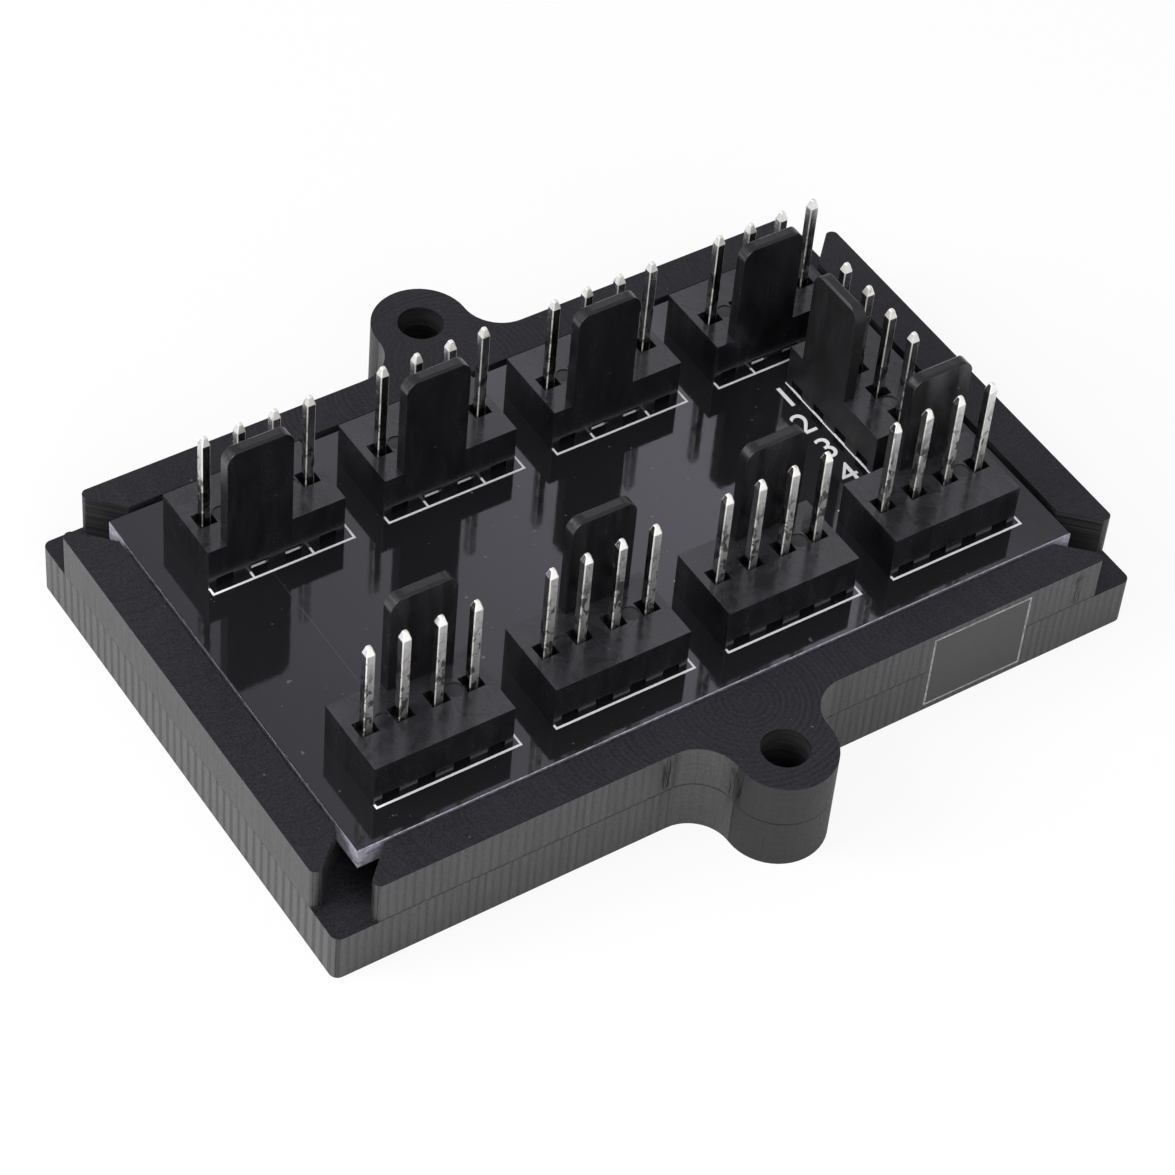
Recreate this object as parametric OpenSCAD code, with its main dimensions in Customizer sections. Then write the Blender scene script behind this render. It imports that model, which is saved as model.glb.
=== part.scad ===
// Fan hub: a circuit board with nine four-pin headers, seated in a milled plastic holder that has
// a screw ear on each long side. Eight headers feed fans and the ninth, at the +X end, is the input.
// Millimetres. The origin is the centre of the holder's underside, +X runs along the holder,
// +Y points to its back row of headers and +Z up.

/* [Pins] */
// Distance between neighbouring pins of a header
pin_pitch = 2.54; // [2.3:0.01:3]
// Side of a pin's square section
pin_side = 0.64; // [0.5:0.01:0.8]
// Height of the pin tips above the board
pin_height = 10.75; // [9:0.05:13]
// Length of the bevel at a pin's tip
pin_bevel = 0.6; // [0.4:0.1:1.2]
// Side of the small flat on a pin's tip
pin_flat = 0.3; // [0.1:0.05:0.4]
// Length of pin that stands out under the board
pin_tail = 1.2; // [1:0.1:1.6]

/* [Header housings] */
// Distance from the outer pins to the ends of the housing
housing_over = 1.24; // [1:0.01:2]
// Distance from the pins to the housing's plain face
housing_back = 3.2; // [2:0.05:4]
// Distance from the pins to the housing's face under the tab
housing_front = 2.75; // [2.5:0.05:3.5]
// Height of the housing's base
housing_h = 3.35; // [2.4:0.05:5]
// Width of the open grooves under the housing
foot_gap_w = 1.25; // [0.9:0.05:1.5]
// Height of the open grooves under the housing
foot_gap_h = 0.7; // [0.2:0.05:0.8]
// Distance that the middle rib stands out from the plain face
rib_out = 0.1; // [0.05:0.05:0.2]
// Height of the middle rib above the grooves beside it
rib_over = 0.1; // [0.05:0.05:0.3]
// Side of the square pocket round each pin, at the top
pocket_side = 1.3; // [1.1:0.05:1.7]
// Side of the same pocket at its floor
pocket_floor_side = 1; // [0.9:0.05:1.05]
// Depth of the pockets round the pins
pocket_depth = 0.6; // [0.3:0.05:1]
// Diameter of the round marks that the moulding leaves between pins
mark_d = 1.2; // [0.8:0.1:1.6]
// Depth of those marks
mark_depth = 0.08; // [0.04:0.01:0.2]
// Width of the polarising tab
tab_w = 4.8; // [4:0.1:5.4]
// Thickness of the tab
tab_t = 0.85; // [0.7:0.05:1.2]
// Height of the tab above the board
tab_h = 11.4; // [8:0.05:13]
// Radius of the tab's upper corners
tab_r = 1.1; // [0.4:0.1:1.8]
// Bevel along the tab's upper edges
tab_bevel = 0.15; // [0.05:0.05:0.3]

/* [Board] */
// Gap between neighbouring housings in a row
housing_gap = 2.95; // [2:0.05:6]
// Gap between the ends of the input housing and the two rows
input_gap = 2.3; // [1:0.05:6]
// Board left over past the left housings
margin_left = 2.65; // [1.5:0.05:6]
// Board left over past the right housings
margin_right = 2.8; // [1.5:0.05:6]
// Board left over in front of the front row
margin_front = 2.65; // [1.5:0.05:6]
// Board left over behind the back row
margin_back = 2.45; // [1.5:0.05:6]
// Distance from the board's right edge to the input housing
margin_input = 2.5; // [1.5:0.05:4]
// Thickness of the board
board_t = 1.6; // [1:0.1:2.4]
// Diameter of the plated holes for the pins
hole_d = 1.15; // [1.14:0.01:1.4]
// Diameter of a solder joint on the board's underside
solder_d = 1.9; // [1.5:0.1:2.1]
// Diameter of a solder joint round the pin's tail
solder_tail_d = 1.15; // [1.14:0.01:1.3]
// Height of a solder joint
solder_h = 0.9; // [0.5:0.1:1]

/* [Silkscreen] */
// Width of the printed lines
line_w = 0.15; // [0.1:0.01:0.4]
// Thickness of the printed lines
line_t = 0.03; // [0.02:0.01:0.06]
// Gap from a housing's ends to the middle of its printed outline
outline_end = 0.16; // [0.1:0.02:0.5]
// Gap from a housing's plain face to the middle of its outline
outline_back = 0.3; // [0.2:0.05:1.2]
// Gap from a housing's tab face to the middle of its outline
outline_front = 0.6; // [0.4:0.05:1.4]
// Width of the printed mark in front of a fan header's tab
key_w = 4.4; // [3:0.1:6]
// Gap from a housing's tab face back to the middle of the mark's long line
key_gap = 0.35; // [0.1:0.05:0.5]
// Gap from the input housing's tab face to the middle of its printed line
input_line_gap = 0.25; // [0.15:0.05:1]
// Distance that the input's printed line stands forward of the housing
input_line_shift = 0.1; // [0:0.05:0.6]
// Distance that the whole print is out of place towards the input header
print_shift = 0.24; // [0:0.02:0.3]
// Length left open at the outline's corner behind a fan header's left end
corner_open = 0.5; // [0.3:0.05:1]

/* [Holder] */
// Thickness of the rim beyond the pocket at the short sides
end_wall = 3; // [2.4:0.1:6]
// Thickness of the rim beyond the pocket at the long sides
side_wall = 2.8; // [2.4:0.1:6]
// Height of the corner ledges and of the floor under the board
floor_h = 3.8; // [2:0.1:8]
// Room under the board for the solder joints
solder_room = 1.7; // [1.65:0.05:5]
// Depth of the board's top below the rim
board_sunk = 0.15; // [0:0.05:0.6]
// Gap between the board and each of the pocket's walls
board_slack = 0.35; // [0.1:0.05:0.8]
// Width of the shelf that the board rests on
shelf_w = 1.2; // [0.9:0.1:1.4]
// Width of the diagonal channels through the corners
channel_w = 3.1; // [2:0.1:4]
// Radius of the upright edges of the ledge corners
corner_r = 0.6; // [0.2:0.1:1]
// Radius of the rim's tips beside the channels
tip_r = 0.5; // [0.2:0.05:0.7]

/* [Screw ears] */
// Distance from the long wall to the centre of the screw hole
ear_reach = 3; // [2.9:0.1:8]
// Radius of the ear round its screw hole
ear_r = 3.45; // [2.8:0.05:5]
// Diameter of the screw hole
ear_hole_d = 3.2; // [2:0.1:4.5]
// Radius of the hollow curves that blend the ear into the wall
ear_fillet = 2.8; // [0.5:0.05:2.85]

/* [Framed field] */
// Distance from the holder's middle to the centre of the engraved frame
frame_x = 17.9; // [12:0.1:20]
// Width of the engraved frame
frame_w = 7.9; // [4:0.1:9]
// Wall left above and below the engraved frame
frame_margin = 0.45; // [0.3:0.05:1.5]
// Width of the engraved line
groove_w = 0.16; // [0.1:0.02:0.4]
// Depth of the engraved line
groove_depth = 0.12; // [0.05:0.01:0.3]

/* [Hidden] */
$fn = 64;
// Amount by which a cutter runs past the face it opens
past = 1;

pins = 4;
columns = 4;
pin_row = (pins - 1) * pin_pitch;
housing_l = pin_row + 2 * housing_over;
housing_w = housing_front + housing_back;
column_pitch = housing_l + housing_gap;
row_gap = housing_l + 2 * input_gap;

board_l = columns * housing_l + (columns - 1) * housing_gap + margin_left + margin_right;
board_w = row_gap + 2 * housing_w + margin_front + margin_back;
pocket_l = board_l + 2 * board_slack;
pocket_w = board_w + 2 * board_slack;
holder_l = pocket_l + 2 * end_wall;
holder_w = pocket_w + 2 * side_wall;
seat_z = floor_h + solder_room;
board_z = seat_z + board_t;
holder_h = board_z + board_sunk;

// Rows, columns and the input header, from the board's edges
first_x = margin_left + housing_l / 2 - board_l / 2;
front_y = margin_front + housing_back - board_w / 2;
back_y = board_w / 2 - margin_back - housing_back;
input_x = board_l / 2 - margin_input - housing_back;
input_y = (front_y + back_y) / 2;

// Each header: name, X, Y and turn about Z. An unturned header has its tab towards -Y.
HEADERS = concat(
    [for (i = [0 : columns - 1]) [str("back_", i + 1), first_x + i * column_pitch, back_y, 0]],
    [for (i = [0 : columns - 1]) [str("front_", i + 1), first_x + i * column_pitch, front_y, 180]],
    [["input", input_x, input_y, -90]]
);

// X of a pin in its own header, counted from 1
function pin_x(i) = (i - 1) * pin_pitch - pin_row / 2;

// Puts a header's children in place on the board
module placed(header) {
    translate([header[1], header[2], board_z]) rotate([0, 0, header[3]]) children();
}

// Solid with one outline seen along Y and the same outline seen along X
module crossed(outline, reach) {
    intersection() {
        rotate([90, 0, 0]) linear_extrude(reach, center = true) polygon(outline);
        rotate([90, 0, 90]) linear_extrude(reach, center = true) polygon(outline);
    }
}

// Rectangle with round corners
module round_rectangle(l, w, r) {
    square([l - 2 * r, w], center = true);
    square([l, w - 2 * r], center = true);
    for (x = [-1, 1], y = [-1, 1]) translate([x * (l / 2 - r), y * (w / 2 - r)]) circle(r);
}

// Screw ear on a wall along X, drawn from the wall's face towards +Y
module ear_outline() {
    foot = ear_r + ear_fillet;
    difference() {
        union() {
            translate([0, ear_reach]) circle(ear_r);
            translate([-ear_r, -end_wall / 2]) square([2 * ear_r, ear_reach + end_wall / 2]);
            translate([-foot, -end_wall / 2]) square([2 * foot, ear_fillet + end_wall / 2]);
        }
        for (side = [-1, 1]) translate([side * foot, ear_fillet]) circle(ear_fillet);
        translate([0, ear_reach]) circle(d = ear_hole_d);
    }
}

// Sliver that rounds off the rim's sharp tip. The holder's corner is at 0, 0 and the rim lies at -X.
module tip_sliver() {
    tip = [-channel_w / sqrt(2), 0];
    inset = 0.96 * tip_r;
    middle = tip - [inset / tan(22.5), inset];
    difference() {
        polygon([middle, middle + [0, past], tip + [0, past / 2], tip + [past / 2, 0],
            middle + [past, -past] / sqrt(2)]);
        translate(middle) circle(tip_r);
    }
}

// Diagonal channel through the corner at +X, +Y with its rounded rim tips
module corner_channel() {
    inward = (shelf_w + board_slack + end_wall) * sqrt(2) + channel_w;
    translate([holder_l / 2, holder_w / 2]) {
        rotate(45) translate([-inward, -channel_w / 2]) square([inward + channel_w, channel_w]);
        tip_sliver();
        mirror([1, -1, 0]) tip_sliver();
    }
}

// Fine line engraved round an empty field on the front wall
module engraved_frame() {
    frame_h = holder_h - 2 * frame_margin;
    translate([frame_x, -holder_w / 2, holder_h / 2])
        rotate([90, 0, 0]) linear_extrude(2 * groove_depth, center = true)
            difference() {
                square([frame_w, frame_h], center = true);
                square([frame_w - 2 * groove_w, frame_h - 2 * groove_w], center = true);
            }
}

// Milled holder: four raised rim bars round the board's pocket, open corners and two screw ears
module holder() {
    color("#3c3b3e") difference() {
        linear_extrude(holder_h) {
            round_rectangle(holder_l, holder_w, corner_r);
            for (turn = [0, 180]) rotate(turn) translate([0, holder_w / 2]) ear_outline();
        }
        translate([0, 0, floor_h]) linear_extrude(holder_h) {
            square([pocket_l - 2 * shelf_w, pocket_w - 2 * shelf_w], center = true);
            for (x = [0, 1], y = [0, 1]) mirror([x, 0]) mirror([0, y]) corner_channel();
        }
        translate([0, 0, seat_z]) linear_extrude(holder_h) square([pocket_l, pocket_w], center = true);
        engraved_frame();
    }
}

// Board on the holder's shelf, with a plated hole for each pin
module circuit_board() {
    color("#17161a") difference() {
        translate([-board_l / 2, -board_w / 2, seat_z]) cube([board_l, board_w, board_t]);
        for (h = HEADERS, i = [1 : pins])
            placed(h) translate([pin_x(i), 0, -board_t - past]) cylinder(d = hole_d, h = board_t + 2 * past);
    }
}

// Footprint of the ribs that a housing stands on, between its open grooves
module foot_print() {
    difference() {
        translate([-housing_l / 2, -housing_front]) square([housing_l, housing_w]);
        for (i = [1 : pins])
            translate([pin_x(i) - foot_gap_w / 2, -housing_front - past])
                square([foot_gap_w, housing_w + 2 * past]);
    }
}

// Printed line between two points, along X or Y
module line(from, to) {
    low = [min(from[0], to[0]), min(from[1], to[1])];
    high = [max(from[0], to[0]), max(from[1], to[1])];
    translate(low - [line_w, line_w] / 2) square(high - low + [line_w, line_w]);
}

// Printed outline of a fan header, with the mark that shows its tab's side
module fan_outline() {
    end = housing_l / 2 + outline_end;
    back = housing_back + outline_back;
    front = -housing_front - outline_front;
    key = key_gap - housing_front;
    line([-end, front], [end, front]);
    line([-end, back], [end, back]);
    for (side = [-1, 1]) {
        line([side * end, front], [side * end, back]);
        line([side * key_w / 2, front], [side * key_w / 2, key]);
    }
    line([-key_w / 2, key], [key_w / 2, key]);
}

// Printed line in front of the input header's tab
module input_outline() {
    front = -housing_front - input_line_gap;
    line([input_line_shift - housing_l / 2, front], [input_line_shift + housing_l / 2, front]);
}

// All the printed lines, clear of the housings' feet and open at one corner of each fan outline
module silkscreen() {
    color("#f2f2f4") for (h = HEADERS)
        difference() {
            translate([print_shift, 0, 0]) placed(h) linear_extrude(line_t)
                if (h[0] == "input")
                    input_outline();
                else
                    fan_outline();
            placed(h) linear_extrude(foot_gap_h) foot_print();
            if (h[0] != "input")
                translate([h[1] - housing_l / 2 - past, h[2] + housing_front, board_z - past / 2])
                    cube([past + corner_open, housing_w, past]);
        }
}

// Tall tab that keys the plug, flush with the housing's front and centred on its second pin
module tab() {
    span = tab_w / 2;
    intersection() {
        translate([pin_x(2), 0, 0]) rotate([90, 0, 0]) linear_extrude(4 * housing_w, center = true) {
            translate([-span, foot_gap_h]) square([tab_w, tab_h - tab_r - foot_gap_h]);
            translate([tab_r - span, foot_gap_h]) square([tab_w - 2 * tab_r, tab_h - foot_gap_h]);
            for (side = [-1, 1]) translate([side * (span - tab_r), tab_h - tab_r]) circle(tab_r);
        }
        translate([0, -housing_front, 0]) rotate([90, 0, 90]) linear_extrude(2 * housing_l, center = true)
            polygon([[0, 0], [tab_t, 0], [tab_t, tab_h - tab_bevel], [tab_t - tab_bevel, tab_h],
                [tab_bevel, tab_h], [0, tab_h - tab_bevel]]);
    }
}

// Moulded header housing: keyed base on ribs, with a tapered pocket and a square hole for each pin
module housing() {
    pocket = [[-pocket_floor_side / 2, 0], [pocket_floor_side / 2, 0], [pocket_side / 2, pocket_depth],
        [pocket_side / 2, pocket_depth + past], [-pocket_side / 2, pocket_depth + past],
        [-pocket_side / 2, pocket_depth]];
    color("#1b1b1c") difference() {
        union() {
            translate([-housing_l / 2, -housing_front, foot_gap_h])
                cube([housing_l, housing_w, housing_h - foot_gap_h]);
            linear_extrude(foot_gap_h) foot_print();
            translate([foot_gap_w / 2 - pin_pitch / 2, housing_back - rib_out, 0])
                cube([pin_pitch - foot_gap_w, 2 * rib_out, foot_gap_h + rib_over]);
            tab();
        }
        for (i = [1 : pins]) translate([pin_x(i), 0, 0]) {
            translate([-pin_side / 2, -pin_side / 2, 0]) cube([pin_side, pin_side, housing_h]);
            translate([0, 0, housing_h - pocket_depth]) crossed(pocket, 2 * pocket_side);
        }
        for (i = [1, 3]) translate([pin_x(i) + pin_pitch / 2, 0, housing_h - mark_depth])
            cylinder(d = mark_d, h = past);
    }
}

// Square pin with a bevelled tip and tail
module pin() {
    low = -board_t - pin_tail;
    half = pin_side / 2;
    outline = [[-pin_flat / 2, low], [pin_flat / 2, low], [half, low + half], [half, pin_height - pin_bevel],
        [pin_flat / 2, pin_height], [-pin_flat / 2, pin_height], [-half, pin_height - pin_bevel],
        [-half, low + half]];
    color("#c9c9c4") crossed(outline, 2 * pin_side);
}

// Solder of one header: a filled hole and a cone under the board at each pin
module solder() {
    color("#9fa1a4") for (i = [1 : pins]) translate([pin_x(i), 0, -board_t]) difference() {
        union() {
            cylinder(d = hole_d, h = board_t);
            translate([0, 0, -solder_h]) cylinder(d1 = solder_tail_d, d2 = solder_d, h = solder_h);
        }
        translate([-pin_side / 2, -pin_side / 2, -solder_h - past])
            cube([pin_side, pin_side, solder_h + board_t + 2 * past]);
    }
}

holder();
circuit_board();
silkscreen();
for (h = HEADERS) {
    placed(h) housing();
    for (i = [1 : pins])
        placed(h) translate([pin_x(i), 0, 0]) pin();
    placed(h) solder();
}
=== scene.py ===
"""Looks of the fan hub: bevelled housings, pins, board and milled holder, with their materials."""

import math

import bmesh
import bpy
from mathutils import Matrix, Vector


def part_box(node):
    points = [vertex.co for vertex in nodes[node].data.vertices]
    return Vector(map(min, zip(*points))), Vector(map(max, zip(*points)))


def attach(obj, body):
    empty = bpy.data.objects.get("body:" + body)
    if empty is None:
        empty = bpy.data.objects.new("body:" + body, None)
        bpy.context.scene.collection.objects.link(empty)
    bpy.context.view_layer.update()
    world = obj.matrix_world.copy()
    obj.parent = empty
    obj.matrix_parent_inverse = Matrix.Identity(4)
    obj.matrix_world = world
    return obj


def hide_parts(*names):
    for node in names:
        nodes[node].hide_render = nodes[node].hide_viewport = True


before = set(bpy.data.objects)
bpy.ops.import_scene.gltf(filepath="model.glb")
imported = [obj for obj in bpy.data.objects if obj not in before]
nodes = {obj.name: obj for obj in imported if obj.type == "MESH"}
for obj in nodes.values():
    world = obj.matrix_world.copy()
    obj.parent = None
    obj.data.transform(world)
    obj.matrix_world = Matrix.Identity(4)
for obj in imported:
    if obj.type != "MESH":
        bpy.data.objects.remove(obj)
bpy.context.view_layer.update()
MM = 0.001
PER_MM = 1000

# Sizes of the CAD solids, in millimetres
BOARD_Z = 7.1
HOUSING_TOP_Z = BOARD_Z + 3.35
WALL_X = 30.7
WALL_Y = 19.0
EAR_Y = 22.0
EAR_R = 3.45
EAR_FILLET = 2.8
HOLE_REACH = 1.8          # just outside the ears' screw holes
LEDGE_LOW = 3.0           # faces that look up above this height are milled tops
FRAME_X = 17.9            # middle of the engraved frame on the front wall
FRAME_REACH = (13.9, 21.9)  # its grooves and field lie between these
FRAME_EDGES = (13.5, 22.3)  # its edges lie between these
EDGE_Z = (0.2, 7.0)
GROOVE_Z = (0.3, 7.0)
FIELD_Z = (0.7, 6.6)
LONG_EDGE = 20.0          # the board's outline edges are longer than this
CREST = 1.3               # the tab's round top reaches this far down

# How the holder was milled, in millimetres
STEP_Z = 3.9              # where the two cuts along the walls meet
CHATTER = ((-6.75, 0.45), (25.85, 0.4), (14.75, 0.3))   # place along the front, half width
BAR_Y, BAR_X = 17.2, 28.8  # middle lines of the rim's long and short bars
SHORT_BAR = 27.7          # the short bars start here
CUTTER_SQUARE = 12.0      # square of the top cutter's radius
CUTTER_REACH = 3.3
RING_BACK = 4.5           # the rings' middle lies this far inside the ear's hole
RING_R = 8.0

# Widths of the small bevels, in millimetres
HOLDER_BEVEL = 0.09
BOARD_BEVEL = 0.05
HOUSING_BEVEL = 0.05
CREST_BEVEL = 0.07        # on the tab's round top
PIN_BEVEL = 0.065

# Which way each row's pins face away from the tabs, and the side with the paler moulding mark
PLAIN_SIDE = {"front": (0, -1, 0), "back_": (0, 1, 0), "input": (1, 0, 0)}
MARK_SIDE = {"front": (1, 0, 0), "back_": (-1, 0, 0), "input": (0, 1, 0)}

# Printed pin numbers: right edge, heights along the board, height of a figure, thickness of the ink
NUMBER_RIGHT = 18.2
NUMBER_MIDDLES = (3.94, 1.27, -1.4, -4.07)
NUMBER_HEIGHT = 1.9
INK = 0.03


# ---- node helpers
class Tree:
    """Short calls for the shader nodes used here, in one node tree."""

    def __init__(self, node_tree):
        self.nt = node_tree
        self.nt.nodes.clear()

    def new(self, kind):
        return self.nt.nodes.new("ShaderNode" + kind)

    def put(self, value, socket):
        if isinstance(value, bpy.types.NodeSocket):
            self.nt.links.new(value, socket)
        else:
            socket.default_value = value

    def math(self, op, a, b=0.0, c=None):
        n = self.new("Math")
        n.operation = op
        self.put(a, n.inputs[0])
        self.put(b, n.inputs[1])
        if c is not None:
            self.put(c, n.inputs[2])
        return n.outputs[0]

    def add(self, a, b):
        return self.math("ADD", a, b)

    def sub(self, a, b):
        return self.math("SUBTRACT", a, b)

    def mul(self, a, b):
        return self.math("MULTIPLY", a, b)

    def less(self, a, b):
        return self.math("LESS_THAN", a, b)

    def more(self, a, b):
        return self.math("GREATER_THAN", a, b)

    def abs(self, a):
        return self.math("ABSOLUTE", a)

    def blend(self, f, a, b):
        """The value a where f is 0, and b where f is 1."""
        return self.add(self.mul(a, self.sub(1.0, f)), self.mul(b, f))

    def points(self, x, y=None, z=None):
        """The object's coordinates times a scale: one for all axes, or three."""
        n = self.new("VectorMath")
        n.operation = "MULTIPLY"
        self.put(self.new("TexCoord").outputs["Object"], n.inputs[0])
        n.inputs[1].default_value = (x, x if y is None else y, x if z is None else z)
        return n.outputs[0]

    def split(self, vector):
        n = self.new("SeparateXYZ")
        self.put(vector, n.inputs[0])
        return n.outputs[0], n.outputs[1], n.outputs[2]

    def place(self):
        """The object's coordinates in millimetres, one by one."""
        return self.split(self.points(PER_MM))

    def join(self, x, y, z):
        n = self.new("CombineXYZ")
        for v, s in zip((x, y, z), n.inputs):
            self.put(v, s)
        return n.outputs[0]

    def noise(self, vector, detail=2.0, rough=0.5, distort=0.0):
        n = self.new("TexNoise")
        self.put(vector, n.inputs["Vector"])
        n.inputs["Scale"].default_value = 1.0
        n.inputs["Detail"].default_value = detail
        n.inputs["Roughness"].default_value = rough
        n.inputs["Distortion"].default_value = distort
        return n.outputs["Fac"]

    def remap(self, v, a, b, c=0.0, d=1.0, smooth=False):
        """Takes a..b to c..d and holds it there."""
        n = self.new("MapRange")
        n.interpolation_type = "SMOOTHSTEP" if smooth else "LINEAR"
        self.put(v, n.inputs[0])
        for i, x in zip((1, 2, 3, 4), (a, b, c, d)):
            self.put(x, n.inputs[i])
        return n.outputs[0]

    def mix(self, f, a, b):
        n = self.new("Mix")
        n.data_type = "RGBA"
        self.put(f, n.inputs["Factor"])
        rgb = [s for s in n.inputs if s.type == "RGBA"]
        self.put(a, rgb[0])
        self.put(b, rgb[1])
        return next(s for s in n.outputs if s.type == "RGBA")

    def attribute(self, name):
        n = self.new("Attribute")
        n.attribute_name = name
        return n.outputs["Fac"]

    def bump(self, height, distance, strength=1.0, normal=None):
        """Distances are in metres."""
        n = self.new("Bump")
        n.inputs["Strength"].default_value = strength
        n.inputs["Distance"].default_value = distance
        self.put(height, n.inputs["Height"])
        if normal is not None:
            self.put(normal, n.inputs["Normal"])
        return n.outputs[0]


class Surface(Tree):
    """A material with one Principled shader."""

    def __init__(self, name):
        self.mat = bpy.data.materials.new(name)
        self.mat.use_nodes = True
        super().__init__(self.mat.node_tree)
        self.out = self.new("OutputMaterial")
        self.bsdf = self.new("BsdfPrincipled")
        self.put(self.bsdf.outputs[0], self.out.inputs[0])

    def set(self, **values):
        for name, v in values.items():
            self.put(v, self.bsdf.inputs[name.replace("_", " ")])
        return self.mat


def grey(v, cold=0.0):
    return (v, v, v + cold, 1.0)


# ---- materials
def make_wall(name, pale, ior):
    """Side-milled wall: upright cutter ridges, a step line where two passes meet, faint level lines;
    painted shade in the step line and in the chatter grooves.
    """
    t = Surface(name)
    x, y, z = t.place()
    run, ear, side = t.attribute("run"), t.attribute("ear"), t.attribute("side")
    low = t.remap(z, STEP_Z + 0.03, STEP_Z - 0.03)
    left = t.less(x, 0.4 - WALL_X)

    # one cutter wave along the wall, slow and deep on the left wall's lower half
    drift = t.noise(t.join(t.mul(run, 0.23), low, side), 3.0)
    phase = t.add(t.mul(drift, t.sub(9.0, t.mul(left, 6.0))), t.mul(low, 2.4))
    rate = t.sub(10.2, t.mul(left, 3.4))
    wave = t.math("SINE", t.add(t.mul(run, rate), phase))
    wave = t.remap(wave, -0.9, 0.2, -1.0, 1.0, smooth=True)
    fine = t.noise(t.join(t.mul(run, 4.2), t.mul(z, 0.12), t.mul(low, 7.0)), 4.0, 0.6)
    fibre = t.noise(t.join(t.mul(run, 11.0), side, t.mul(z, 3.2)), 4.0, 0.75)
    patch = t.noise(t.join(t.mul(run, 0.35), t.mul(z, 0.5), side))
    amount = t.mul(t.remap(patch, 0.3, 0.7, 0.4, 1.15), t.sub(1.0, t.mul(ear, 0.75)))
    deep = t.add(0.12, t.mul(low, t.remap(patch, 0.3, 0.7, 1.1, 1.9)))
    amount = t.blend(left, amount, deep)
    depth = t.math("MULTIPLY_ADD", left, 0.14, 0.19)
    ridge = t.add(t.mul(t.mul(wave, amount), depth), t.mul(fine, 0.9))

    # level lines, mostly on the ears, and the step line between the two passes, a groove with painted
    # shade in it
    level = t.noise(t.join(t.mul(run, 0.05), 0.0, t.mul(z, 5.0)), 3.0, 0.7)
    level = t.mul(level, t.add(0.25, t.mul(ear, 1.3)))
    jag = t.noise(t.join(t.mul(run, 3.0), side, 0.0), 4.0, 0.7)
    step = t.add(t.sub(z, STEP_Z), t.mul(t.sub(jag, 0.5), 0.16))
    line = t.sub(1.0, t.remap(t.abs(step), 0.035, 0.1, smooth=True))
    line = t.mul(line, t.sub(t.remap(jag, 0.3, 0.6, 0.3, 0.85), t.mul(left, 0.3)))

    # chatter marks on the front side, above the step: grooves with painted shade in them
    near = 0.0
    for centre, half in CHATTER:
        off = t.abs(t.sub(run, centre))
        near = t.math("MAXIMUM", near, t.remap(off, half, half * 0.6))
    comb = t.remap(t.noise(t.join(t.mul(run, 8.0), 0.0, t.mul(z, 0.5))), 0.47, 0.55)
    tall = t.mul(t.remap(z, STEP_Z, STEP_Z + 0.5), t.remap(z, 6.9, 6.4))
    front = t.less(y, 0.1 - WALL_Y)
    chatter = t.mul(t.mul(near, comb), t.mul(tall, front))

    height = t.sub(t.add(ridge, level), t.mul(line, 1.3))
    height = t.sub(t.add(height, t.mul(fibre, 1.1)), chatter)
    grain = t.noise(t.points(9000), 3.0, 0.6)
    normal = t.bump(height, 0.000022, 1.0, t.bump(grain, 0.000008, 0.7))
    tone = t.add(ridge, t.mul(t.sub(fibre, 0.5), 2.0))
    tone = t.remap(t.add(tone, t.mul(t.mul(level, ear), 0.3)), 0.1, 0.95)
    colour = t.mix(tone, (0.011, 0.011, 0.0108, 1), pale)
    # painted shade: the step line and the chatter grooves are darkened nearly to black, and the specular
    # tint dims their reflection
    dark = t.math("MAXIMUM", t.mul(line, 0.8), t.mul(chatter, 0.9))
    colour = t.mix(dark, colour, grey(0.003))
    return t.set(Base_Color=colour, Roughness=t.remap(grain, 0.3, 0.7, 0.38, 0.5), IOR=ior,
                 Specular_Tint=t.mix(dark, grey(1.0), grey(0.04)), Normal=normal)


def make_field():
    """Smooth field inside the engraved frame."""
    t = Surface("frame_field")
    grain = t.noise(t.points(6500), 4.0, 0.65)
    level = t.noise(t.points(500, 500, 5200), 3.0, 0.6)
    return t.set(Base_Color=t.mix(t.remap(grain, 0.35, 0.65), grey(0.03), grey(0.05)),
                 Roughness=t.remap(grain, 0.3, 0.7, 0.4, 0.55), IOR=1.45,
                 Normal=t.bump(t.add(grain, level), 0.000008, 0.8))


def make_scribe():
    """Bright line that the engraving cutter leaves in black plastic."""
    t = Surface("engraved_line")
    grain = t.noise(t.points(4200), 4.0, 0.7)
    return t.set(Base_Color=t.mix(t.remap(grain, 0.35, 0.65), grey(0.3), grey(0.62)),
                 Roughness=t.remap(grain, 0.3, 0.7, 0.5, 0.65), Normal=t.bump(grain, 0.00001, 0.7))


def cutter_path(t, along, off):
    """Place along a bar, moved on by the round cutter's arc at this distance from the bar's middle."""
    off = t.math("MINIMUM", off, CUTTER_REACH)
    return t.add(along, t.math("SQRT", t.sub(CUTTER_SQUARE, t.mul(off, off))))


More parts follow.
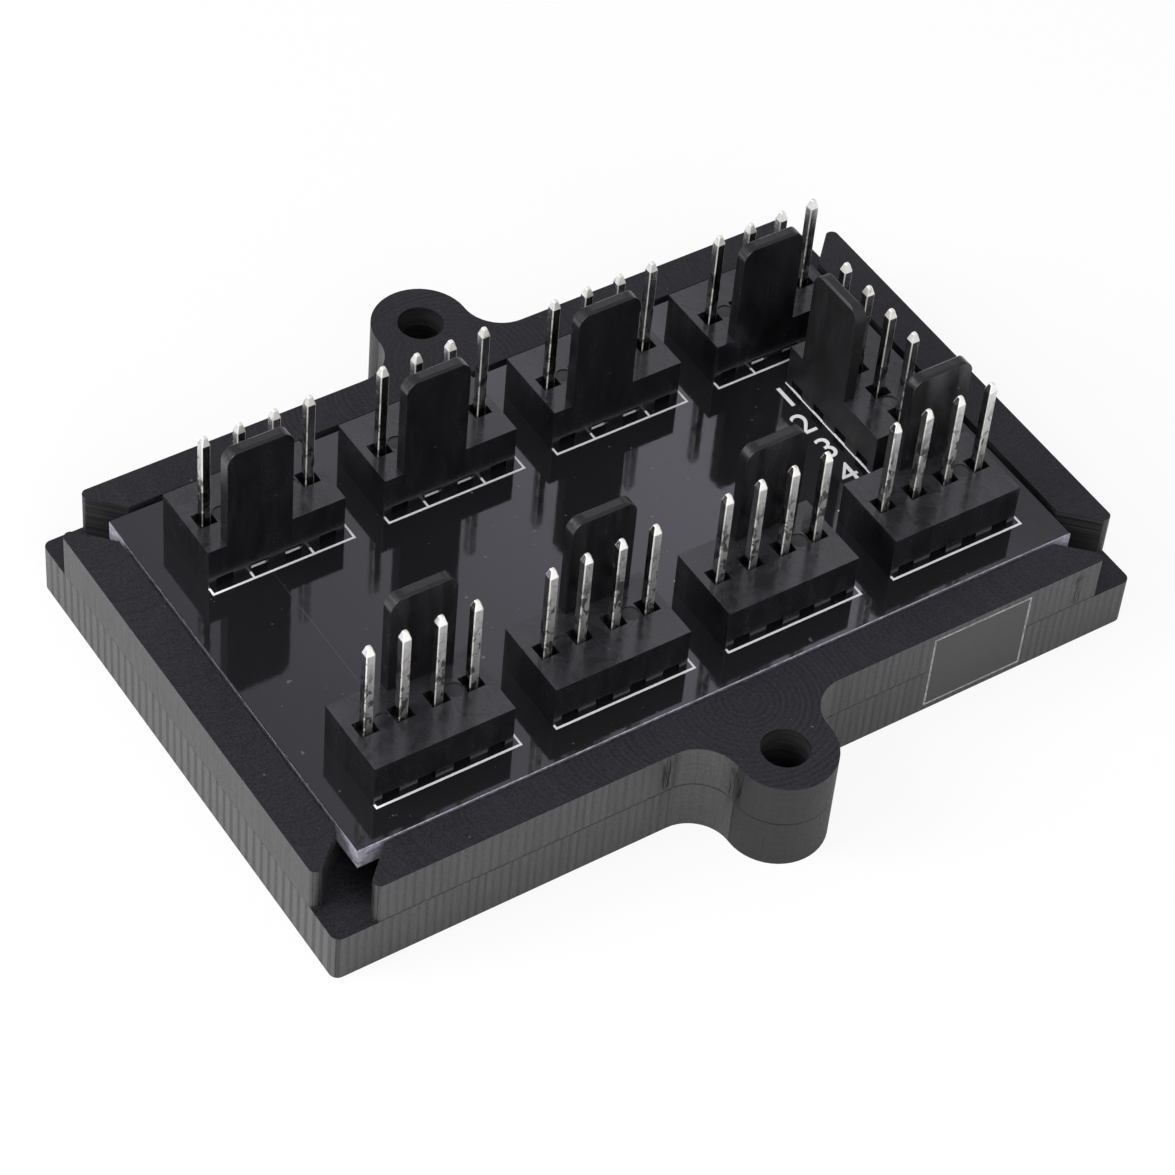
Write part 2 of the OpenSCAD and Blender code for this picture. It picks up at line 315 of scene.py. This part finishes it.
def make_top():
    """Face-milled top: arcs along the rim and rings at the ears, with fine grain and dust."""
    t = Surface("holder_top")
    x, y, z = t.place()
    ax, ay = t.abs(x), t.abs(y)
    along = cutter_path(t, x, t.abs(t.sub(ay, BAR_Y)))
    across = cutter_path(t, y, t.abs(t.sub(ax, BAR_X)))
    ey = t.sub(ay, EAR_Y - RING_BACK)
    ring = t.math("SQRT", t.add(t.mul(x, x), t.mul(ey, ey)))
    short = t.more(ax, SHORT_BAR)
    path = t.blend(t.less(ring, RING_R), t.blend(short, along, across), ring)
    wobble = t.noise(t.points(220))
    wave = t.math("SINE", t.add(t.mul(path, 15.5), t.mul(wobble, 3.0)))
    fine = t.noise(t.join(t.mul(path, 8.0), z, t.mul(wobble, 0.6)), 3.0, 0.65)

    # the wave comes and goes, and is strongest in the rings
    fade = t.remap(t.noise(t.points(130)), 0.35, 0.65, 0.25, 1.0)
    fade = t.mul(fade, t.sub(1.0, t.mul(short, 0.6)))
    fade = t.mul(fade, t.remap(ring, 0.3, 1.8, smooth=True))
    fade = t.mul(fade, t.remap(ring, 9.0, 16.0, 1.0, 0.4))
    height = t.add(t.mul(t.mul(wave, fade), 0.2), t.mul(fine, 0.8))
    grain = t.noise(t.points(7000), 4.0, 0.6)
    normal = t.bump(height, 0.0000065, 1.0, t.bump(grain, 0.000009, 0.8))
    dust = t.remap(t.noise(t.points(2600), 1.0), 0.78, 0.82)
    tone = t.remap(t.add(height, t.mul(t.sub(grain, 0.44), 2.4)), 0.15, 1.05)
    colour = t.mix(tone, grey(0.005, 0.001), grey(0.025, 0.003))
    colour = t.mix(t.mul(dust, 0.5), colour, grey(0.2))
    return t.set(Base_Color=colour, Roughness=t.remap(grain, 0.3, 0.7, 0.36, 0.47), IOR=1.4,
                 Specular_Tint=(0.9, 0.87, 1.0, 1.0), Normal=normal)


def make_inner():
    """Pocket, channel and hole walls: darker than the outer walls, as painted shade in the recesses,
    with fine level tool lines.
    """
    t = Surface("holder_inner_painted_shade")
    x, y, z = t.place()
    level = t.noise(t.join(t.mul(t.add(x, y), 0.4), 0.0, t.mul(z, 6.0)), 3.0, 0.6)
    grain = t.noise(t.points(6000), 3.0, 0.6)
    return t.set(Base_Color=t.mix(t.remap(level, 0.4, 0.7), grey(0.008), grey(0.04)),
                 Roughness=t.remap(grain, 0.3, 0.7, 0.4, 0.55), IOR=1.4,
                 Normal=t.bump(level, 0.00001, 0.8, t.bump(grain, 0.000006, 0.6)))


def make_mask():
    """Glossy black board lacquer over a faint weave and one trace."""
    t = Surface("board_mask")
    x, y = t.place()[:2]
    weave = t.mul(t.math("SINE", t.mul(x, 9.0)), t.math("SINE", t.mul(y, 9.0)))
    swell = t.noise(t.points(180))
    peel = t.noise(t.points(1400))
    trace = t.sub(1.0, t.remap(t.abs(t.add(x, 20.35)), 0.02, 0.06, smooth=True))
    trace = t.mul(trace, t.mul(t.more(y, -11.5), t.less(y, 7.0)))
    height = t.add(t.mul(weave, 0.06), t.add(t.mul(swell, 1.2), t.mul(peel, 0.16)))
    height = t.add(height, t.mul(trace, 0.5))
    dust = t.remap(t.noise(t.points(2300), 1.0), 0.76, 0.8)
    colour = t.mix(t.mul(dust, 0.35), grey(0.0095, 0.0015), grey(0.22))
    colour = t.mix(t.mul(trace, 0.3), colour, grey(0.06, 0.005))
    return t.set(Base_Color=colour, Roughness=t.remap(peel, 0.3, 0.7, 0.045, 0.08), IOR=1.74,
                 Specular_Tint=(0.95, 0.93, 1.0, 1.0), Normal=t.bump(height, 0.0000022))


def make_edge():
    """Routed edge of the board: pale glass fibre in layers."""
    t = Surface("board_edge")
    x, y, z = t.place()
    layers = t.noise(t.join(t.mul(t.add(x, y), 0.8), 0.0, t.mul(z, 7.0)), 3.0, 0.7)
    chip = t.noise(t.points(2400, 2400, 3000), 4.0, 0.7)
    tone = t.remap(t.add(t.mul(layers, 0.4), t.mul(chip, 0.6)), 0.38, 0.62)
    return t.set(Base_Color=t.mix(tone, (0.16, 0.15, 0.185, 1), (0.55, 0.53, 0.62, 1)),
                 Roughness=0.5, IOR=1.5, Normal=t.bump(chip, 0.00002, 0.8))


def make_housing(name, dark, pale, rough_low, rough_high):
    """Moulded black nylon: satin, with faint flow marks, fine grain and dust."""
    t = Surface(name)
    x, y, z = t.place()
    flow = t.noise(t.points(900, 900, 250), 3.0, 0.6, 0.8)
    grain = t.noise(t.points(5200), 4.0, 0.6)
    brush = t.noise(t.join(t.mul(t.add(x, y), 5.5), t.mul(t.sub(x, y), 0.8), z), 3.0, 0.6)
    height = t.add(t.mul(grain, 0.5), t.mul(brush, 0.7))
    colour = t.mix(t.remap(flow, 0.35, 0.65), grey(dark, 0.1 * dark), grey(pale, 0.2 * pale))
    dust = t.remap(t.noise(t.points(2900), 1.0), 0.80, 0.84)
    colour = t.mix(t.mul(dust, 0.4), colour, grey(0.2))
    rough = t.remap(t.add(flow, t.mul(grain, 0.3)), 0.45, 0.85, rough_low, rough_high)
    return t.set(Base_Color=colour, Roughness=rough, IOR=1.6,
                 Normal=t.bump(height, 0.000007, 1.0, t.bump(flow, 0.00003, 0.45)))


def make_mark():
    """Ejector mark on a housing: matt and a little paler than the moulded skin."""
    t = Surface("moulding_mark")
    grain = t.noise(t.points(5200), 4.0, 0.6)
    smear = t.noise(t.points(900, 2600, 900))
    tone = t.remap(t.add(grain, smear), 0.7, 1.3)
    return t.set(Base_Color=t.mix(tone, grey(0.016, 0.0005), grey(0.034, 0.002)),
                 Roughness=t.remap(grain, 0.3, 0.7, 0.32, 0.45), IOR=1.58,
                 Normal=t.bump(grain, 0.000004, 0.8))


def make_pin(name, bright, dim, rough_low, rough_high, metallic):
    """Tin plated pin: drawn lengthwise, with dark patches on its lower part and small scrapes."""
    t = Surface(name)
    z = t.place()[2]
    drawn = t.noise(t.points(11000, 11000, 600), 4.0, 0.65)
    patch = t.noise(t.points(1700, 1700, 1600), 5.0, 0.7, 0.6)
    blot = t.noise(t.points(2000, 2000, 1100), 3.0, 0.6, 0.4)
    scrape = t.remap(patch, 0.60, 0.66)
    # dark patches, fading out towards the top of the pin
    dark_low_patch = t.mul(t.remap(blot, 0.51, 0.56), t.remap(z, 16.6, 14.0, smooth=True))
    colour = t.mix(t.remap(patch, 0.3, 0.7), bright, dim)
    colour = t.mix(t.mul(dark_low_patch, 0.85), colour, grey(0.07))
    colour = t.mix(t.mul(scrape, 0.7), colour, (0.2, 0.19, 0.18, 1))
    rough = t.add(t.remap(drawn, 0.3, 0.7, rough_low, rough_high), t.mul(scrape, 0.1))
    return t.set(Base_Color=colour, Roughness=rough, Metallic=metallic,
                 Normal=t.bump(t.add(drawn, t.mul(scrape, 0.8)), 0.000006, 0.8))


def make_solder():
    """Solder with a slightly uneven skin."""
    t = Surface("solder")
    puddle = t.noise(t.points(900), 3.0)
    return t.set(Base_Color=t.mix(puddle, grey(0.42), grey(0.66)), Metallic=1.0,
                 Roughness=t.remap(puddle, 0.3, 0.7, 0.2, 0.4), Normal=t.bump(puddle, 0.00004, 0.5))


def make_print():
    """White printed ink with fine grain."""
    t = Surface("printed_ink")
    grain = t.noise(t.points(7000), 3.0, 0.6)
    return t.set(Base_Color=t.mix(t.remap(grain, 0.35, 0.65), grey(0.9, 0.02), grey(0.99, 0.01)),
                 Roughness=t.remap(grain, 0.3, 0.7, 0.45, 0.6), Normal=t.bump(grain, 0.000004, 0.6))


# Material lists of the pieces, and the numbers that their faces give
WALL, TOP, INNER_PAINTED_SHADE, FIELD, SCRIBE, EAR_WALL_PAINTED_SHADE = 0, 1, 2, 3, 4, 5
HOLDER_MATERIALS = [
    make_wall("holder_wall", (0.058, 0.058, 0.057, 1), 1.56),
    make_top(),
    make_inner(),
    make_field(),
    make_scribe(),
    # painted shade: the ears' walls are a darker, less reflective copy of the wall material
    make_wall("holder_ear_wall_painted_shade", (0.024, 0.024, 0.0235, 1), 1.35),
]
MASK, EDGE = 0, 1
BOARD_MATERIALS = [make_mask(), make_edge()]
# painted light and shade: upward faces at the top get a paler copy of the nylon, the other faces a
# darker one
SKIN, MARK, PAINTED_LIT_TOP = 0, 1, 2
HOUSING_MATERIALS = [
    make_housing("housing_nylon", 0.0035, 0.0085, 0.18, 0.28),
    make_mark(),
    make_housing("housing_nylon_painted_lit_top", 0.017, 0.028, 0.1, 0.2),
]
# the input header's copy is rougher, which blurs its reflections, and darker, which is painted shade
ROUGH_SKIN_PAINTED_SHADE = make_housing("housing_nylon_rough_painted_shade", 0.0025, 0.006, 0.42, 0.52)
SATIN_PAINTED_LIGHT, BRIGHT, PALE_PAINTED_HIGHLIGHT = 0, 1, 2
# painted light: the satin copy is paler than the polished one, and the pale copy, half diffuse, is a
# painted highlight on the tips and bevelled edges, partly the paler cut metal
PIN_MATERIALS = [
    make_pin("pin_satin_face_painted_light", (0.93, 0.92, 0.9, 1), (0.66, 0.65, 0.63, 1), 0.3, 0.42, 0.95),
    make_pin("pin_bright_side", (0.8, 0.8, 0.78, 1), (0.6, 0.6, 0.58, 1), 0.1, 0.2, 1.0),
    make_pin("pin_cut_tip_painted_highlight", (1.0, 0.98, 0.9, 1), (0.88, 0.86, 0.78, 1), 0.3, 0.45, 0.5),
]
SOLDER = make_solder()
PRINT = make_print()


# ---- pieces made from the solids
def clean_copy(node, gap=2e-7):
    """A bmesh of a CAD node with its flat faces whole again."""
    bm = bmesh.new()
    bm.from_mesh(nodes[node].data)
    bmesh.ops.remove_doubles(bm, verts=bm.verts, dist=gap)
    bmesh.ops.dissolve_limit(bm, angle_limit=math.radians(0.3), verts=bm.verts, edges=bm.edges)
    bmesh.ops.recalc_face_normals(bm, faces=bm.faces)
    return bm


def soften(bm, width, edges, segments=2):
    """Bevels the edges by a width in millimetres."""
    bmesh.ops.bevel(bm, geom=edges, offset=width * MM, offset_type="OFFSET", segments=segments,
                    profile=0.5, affect="EDGES", clamp_overlap=True)


def sharp(bm, degrees=30.0):
    """Edges whose two faces turn by more than this."""
    limit = math.radians(degrees)
    return [e for e in bm.edges if len(e.link_faces) == 2 and e.calc_face_angle(0.0) > limit]


def within(v, span):
    return span[0] < v < span[1]


def middle_of(edge):
    """An edge's middle in millimetres."""
    return (edge.verts[0].co + edge.verts[1].co) / (2 * MM)


def finish_piece(bm, name, node, materials, smooth_angle=8.0):
    """Puts the mesh in the scene in the node's place."""
    for f in bm.faces:
        f.smooth = True
    me = bpy.data.meshes.new(name)
    bm.to_mesh(me)
    bm.free()
    for m in materials:
        me.materials.append(m)
    me.set_sharp_from_angle(angle=math.radians(smooth_angle))
    o = bpy.data.objects.new(name, me)
    weighted = o.modifiers.new("broad faces flat", "WEIGHTED_NORMAL")
    weighted.keep_sharp = True
    weighted.weight = 100
    bpy.context.scene.collection.objects.link(o)
    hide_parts(node)
    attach(o, "root")


def ear_run(x, y):
    """Length along the ear's outline, near enough for its texture."""
    side = abs(y)
    if side > WALL_Y + EAR_FILLET:
        return 20.0 + EAR_R * math.atan2(x, side - EAR_Y)
    foot = EAR_R + EAR_FILLET
    turn = math.atan2(foot - abs(x), WALL_Y + EAR_FILLET - side + 1e-6)
    return 30.0 + math.copysign(EAR_FILLET * turn, x)


def holder_material(c, n):
    """The material number for a face of the holder, from its middle in millimetres and its normal."""
    outer = abs(c.x) > WALL_X - 0.8 or abs(c.y) > WALL_Y - 0.35
    hole = math.hypot(c.x, abs(c.y) - EAR_Y) < HOLE_REACH
    corner = abs(abs(n.x) - abs(n.y)) < 0.03 and abs(c.y) < WALL_Y + 0.01
    framed = within(c.x, FRAME_REACH) and c.y < 0.3 - WALL_Y
    if framed and c.y > 0.01 - WALL_Y and within(c.z, GROOVE_Z):
        return SCRIBE
    if framed and n.y < -0.99 and within(c.z, FIELD_Z) and abs(c.x - FRAME_X) < 0.1:
        return FIELD
    # recessed, corner and hole faces, and low flat faces, get the darker inner copy: painted shade
    if abs(n.z) > 0.8:
        return TOP if c.z > LEDGE_LOW else INNER_PAINTED_SHADE
    if not outer or hole or corner:
        return INNER_PAINTED_SHADE
    # the ears' round walls get the darker copy: painted shade
    return EAR_WALL_PAINTED_SHADE if abs(c.y) > WALL_Y + EAR_FILLET else WALL


def build_holder():
    """The milled block; the engraved frame's edges stay crisp."""
    bm = clean_copy("holder")
    chosen = []
    for e in sharp(bm):
        mid = middle_of(e)
        on_front = mid.y < 0.3 - WALL_Y
        if not (on_front and within(mid.x, FRAME_EDGES) and within(mid.z, EDGE_Z)):
            chosen.append(e)
    soften(bm, HOLDER_BEVEL, chosen)
    run, ear, side = (bm.loops.layers.float.new(name) for name in ("run", "ear", "side"))
    for f in bm.faces:
        c = f.calc_center_median() / MM
        n = f.normal
        f.material_index = holder_material(c, n)
        curved = abs(c.y) > WALL_Y + 0.02
        end_wall = abs(n.x) > abs(n.y)
        for l in f.loops:
            p = l.vert.co / MM
            if curved:
                l[run] = ear_run(p.x, p.y)
            else:
                l[run] = p.y if end_wall else p.x
            l[ear] = 1.0 if curved else 0.0
            l[side] = 3.0 * (n.x + 2 * n.y > 0) + 5.0 * end_wall
    finish_piece(bm, "milled_holder", "holder", HOLDER_MATERIALS)


def build_board():
    """The board; its long top edges are bevelled, and only the front one shows the glass fibre."""
    bm = clean_copy("circuit_board")
    edges = []
    for e in sharp(bm):
        if e.calc_length() > LONG_EDGE * MM and abs(middle_of(e).z - BOARD_Z) < 0.02:
            edges.append(e)
    soften(bm, BOARD_BEVEL, edges)
    for f in bm.faces:
        slope = 0.1 < f.normal.z < 0.99 and f.normal.y > -0.3
        f.material_index = MASK if abs(f.normal.z) > 0.99 or slope else EDGE
    finish_piece(bm, "laminate", "circuit_board", BOARD_MATERIALS)


def build_housing(node):
    """Rounds the outer edges and the tab's; the pockets and moulding marks keep their crisp rims."""
    bm = clean_copy(node)
    low, high = [Vector(c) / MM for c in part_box(node)]
    chosen = []
    for e in sharp(bm, 20.0):
        mid = middle_of(e)
        outer = min(mid.x - low.x, high.x - mid.x, mid.y - low.y, high.y - mid.y) < 0.02
        if (outer or mid.z > HOUSING_TOP_Z + 0.02) and mid.z <= high.z - CREST:
            chosen.append(e)
    soften(bm, HOUSING_BEVEL, chosen)
    crest = [e for e in sharp(bm, 20.0) if middle_of(e).z > high.z - CREST + 0.05]
    soften(bm, CREST_BEVEL, crest, 3)
    middle = (low + high) / 2
    toward = Vector(MARK_SIDE[node[:5]])
    for f in bm.faces:
        c = f.calc_center_median() / MM
        under = HOUSING_TOP_Z - c.z
        if f.normal.z > 0.99 and 0.03 < under < 0.2 and (c - middle).dot(toward) > 1.0:
            f.material_index = MARK
        # upward faces at the top get the paler copy: painted light
        elif f.normal.z > 0.5 and -0.03 < under < 0.2:
            f.material_index = PAINTED_LIT_TOP
        else:
            f.material_index = SKIN
    materials = HOUSING_MATERIALS
    # the input header gets the rougher, darker copy: painted shade
    if node.startswith("input"):
        materials = [ROUGH_SKIN_PAINTED_SHADE] + HOUSING_MATERIALS[1:]
    finish_piece(bm, node.replace("_housing", "_shell"), node, materials)


def build_pin(node):
    """Satin on the side away from the header's tab, and paler there as painted light; bright on the
    others; pale on the tip and on every bevelled edge, a painted highlight that is partly the paler cut
    metal.
    """
    bm = clean_copy(node)
    soften(bm, PIN_BEVEL, sharp(bm, 20.0), 1)
    plain = Vector(PLAIN_SIDE[node[:5]])
    for f in bm.faces:
        n = f.normal
        flat = max(abs(c) for c in n) > 0.999
        along_row = n.x ** 2 + n.y ** 2 - n.dot(plain) ** 2
        if 0.1 < n.z < 0.6 and along_row > 0.64:
            f.material_index = BRIGHT
        # tips and bevelled edges get the pale copy: painted highlight, partly the paler cut metal
        elif not flat or n.z > 0.9:
            f.material_index = PALE_PAINTED_HIGHLIGHT
        else:
            # the side away from the tab gets the paler satin copy: painted light
            f.material_index = SATIN_PAINTED_LIGHT if n.dot(plain) > 0.9 else BRIGHT
    finish_piece(bm, node.replace("_pin_", "_contact_"), node, PIN_MATERIALS, 1.0)


def build_number(text, right, middle, height):
    """A printed number as a thin plate of ink on the board."""
    curve = bpy.data.curves.new("number_" + text, "FONT")
    curve.body = text
    curve.size = 1.0
    source = bpy.data.objects.new("number_" + text, curve)
    bpy.context.scene.collection.objects.link(source)
    bpy.context.view_layer.update()
    outline = source.evaluated_get(bpy.context.evaluated_depsgraph_get())
    me = bpy.data.meshes.new_from_object(outline)
    bpy.data.objects.remove(source)
    bm = bmesh.new()
    bm.from_mesh(me)
    bmesh.ops.remove_doubles(bm, verts=bm.verts, dist=1e-5)
    low = Vector([min(v.co[i] for v in bm.verts) for i in range(3)])
    high = Vector([max(v.co[i] for v in bm.verts) for i in range(3)])
    k = height / (high.y - low.y)
    centre = (low.y + high.y) / 2
    for v in bm.verts:
        v.co = Vector((right - (high.x - v.co.x) * k, middle + (v.co.y - centre) * k, BOARD_Z)) * MM
    top = bmesh.ops.extrude_face_region(bm, geom=bm.faces[:])
    for v in (g for g in top["geom"] if isinstance(g, bmesh.types.BMVert)):
        v.co.z += INK * MM
    bmesh.ops.recalc_face_normals(bm, faces=bm.faces)
    out = bpy.data.meshes.new("pin_number_" + text)
    bm.to_mesh(out)
    bm.free()
    out.materials.append(PRINT)
    o = bpy.data.objects.new("pin_number_" + text, out)
    bpy.context.scene.collection.objects.link(o)
    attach(o, "root")


def dress(node, material):
    """Gives a CAD node that is shown as it is its material."""
    nodes[node].data.materials.clear()
    nodes[node].data.materials.append(material)


build_holder()
build_board()
for name in sorted(nodes):
    if name.endswith("_housing"):
        build_housing(name)
    elif "_pin_" in name:
        build_pin(name)
    elif name.endswith("_solder"):
        dress(name, SOLDER)
dress("silkscreen", PRINT)
for i, middle in enumerate(NUMBER_MIDDLES):
    build_number(str(i + 1), NUMBER_RIGHT, middle, NUMBER_HEIGHT)


# ---- floor, light and camera
FLOOR_HALF = 3.0          # metres
FLOOR_WHITE = 0.88        # share of plain white that the camera sees in it


def make_floor():
    """Pale floor that keeps the object's shadow; to the camera it is mostly plain white."""
    t = Surface("pale_floor")
    t.set(Base_Color=grey(0.93), Roughness=0.9)
    glow = t.new("Emission")
    glow.inputs["Color"].default_value = (1, 1, 1, 1)
    glow.inputs["Strength"].default_value = 1.0
    blend = t.new("MixShader")
    t.put(t.mul(t.new("LightPath").outputs["Is Camera Ray"], FLOOR_WHITE), blend.inputs[0])
    t.put(t.bsdf.outputs[0], blend.inputs[1])
    t.put(glow.outputs[0], blend.inputs[2])
    t.put(blend.outputs[0], t.out.inputs[0])
    return t.mat


def make_world():
    """Even soft light with one brighter panel behind the object; plain white to the camera."""
    world = bpy.data.worlds.new("studio")
    bpy.context.scene.world = world
    world.use_nodes = True
    t = Tree(world.node_tree)
    x, y, z = t.split(t.new("TexCoord").outputs["Generated"])
    safe = t.math("MAXIMUM", z, 0.02)
    across = t.math("DIVIDE", x, safe)
    along = t.math("DIVIDE", y, safe)
    width = t.mul(t.remap(across, 0.43, 0.64), t.remap(across, 0.63, 0.72, 1.0, 0.0, smooth=True))
    depth = t.mul(t.remap(along, 0.3, 0.5, smooth=True), t.remap(along, 1.1, 1.4, 1.0, 0.0, smooth=True))
    soft = t.new("Background")
    t.put(t.mix(t.mul(width, depth), (0.37, 0.365, 0.39, 1), (1.0, 0.98, 1.06, 1)), soft.inputs[0])
    soft.inputs["Strength"].default_value = 1.25
    white = t.new("Background")
    white.inputs["Color"].default_value = (1, 1, 1, 1)
    white.inputs["Strength"].default_value = 1.0
    choose = t.new("MixShader")
    t.put(t.new("LightPath").outputs["Is Camera Ray"], choose.inputs[0])
    t.put(soft.outputs[0], choose.inputs[1])
    t.put(white.outputs[0], choose.inputs[2])
    t.put(choose.outputs[0], t.new("OutputWorld").inputs[0])


def lamp(name, place, size, power, aim=(0, 0, 0.005)):
    """A soft box that looks at the object."""
    data = bpy.data.lights.new(name, "AREA")
    data.shape = "RECTANGLE"
    data.size, data.size_y = size
    data.energy = power
    o = bpy.data.objects.new(name, data)
    o.location = place
    o.rotation_euler = (Vector(aim) - Vector(place)).to_track_quat("-Z", "Y").to_euler()
    bpy.context.scene.collection.objects.link(o)


floor_mesh = bpy.data.meshes.new("floor")
corners = [(-FLOOR_HALF, -FLOOR_HALF, 0), (FLOOR_HALF, -FLOOR_HALF, 0),
           (FLOOR_HALF, FLOOR_HALF, 0), (-FLOOR_HALF, FLOOR_HALF, 0)]
floor_mesh.from_pydata(corners, [], [(0, 1, 2, 3)])
floor_mesh.materials.append(make_floor())
floor = bpy.data.objects.new("floor", floor_mesh)
floor.location.z = -0.02 * MM   # just below the holder
bpy.context.scene.collection.objects.link(floor)

make_world()
lamp("key", place=(-0.42, 0.10, 0.30), size=(0.30, 0.30), power=2.1)
lamp("fill", place=(-0.13, -0.42, 0.30), size=(0.32, 0.25), power=1.3)

# The camera was fitted to the photograph: its axes and its place, in metres
scene = bpy.context.scene
scene.view_settings.view_transform = "Standard"
cam = bpy.data.cameras.new("camera")
cam.sensor_fit = "HORIZONTAL"
cam.sensor_width = 36.0
cam.lens = 121.5595
cam.clip_start = 0.01
cam.clip_end = 20.0
eye = bpy.data.objects.new("camera", cam)
right = (0.8382317, -0.5410182, 0.0683154)
up = (0.3575305, 0.6398428, 0.6802743)
back = (-0.4117519, -0.5458027, 0.729767)
place = (-0.1088404, -0.1441649, 0.1940915)
rows = [[right[i], up[i], back[i], place[i]] for i in range(3)]
eye.matrix_world = Matrix(rows + [[0, 0, 0, 1]])
scene.collection.objects.link(eye)
scene.camera = eye
